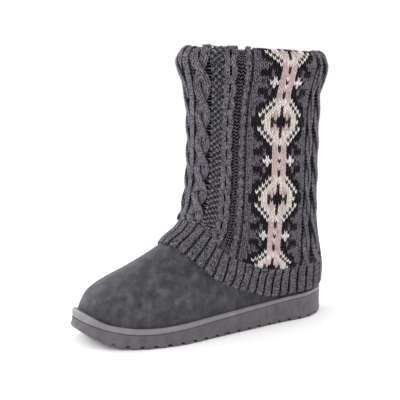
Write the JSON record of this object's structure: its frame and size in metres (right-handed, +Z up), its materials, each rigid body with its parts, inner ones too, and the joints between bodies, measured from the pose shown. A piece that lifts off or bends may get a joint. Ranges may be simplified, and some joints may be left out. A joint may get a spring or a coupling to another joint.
{
  "type": "boot",
  "caption": "Mid-calf pull-on sweater boot for the left foot: suede foot and shaft, moulded rubber cupsole, thick knitted sleeve with a ribbed hem and a rolled collar.",
  "frame": {"origin": "on the floor plane under the middle of the boot's length and width", "axes": "+Z up from the sole, -Y towards the toe, +X towards the outer side of the left foot"},
  "size_m": [0.1286, 0.2761, 0.273],
  "materials": {
    "rubber": "matt moulded rubber, warm grey, finely pitted",
    "welt_rubber": "satin moulded rubber, lighter grey",
    "plush": "short grey plush pile",
    "suede": "grey suede with a soft mottled nap",
    "yarn": "heathered charcoal yarn, with cream, white, dusty pink, olive and black in the colourwork"
  },
  "bodies": {
    "root": {"outsole": "rubber", "welt": "welt_rubber", "insole": "plush", "upper": "suede", "knit_sleeve": "yarn"}
  },
  "joints": []
}
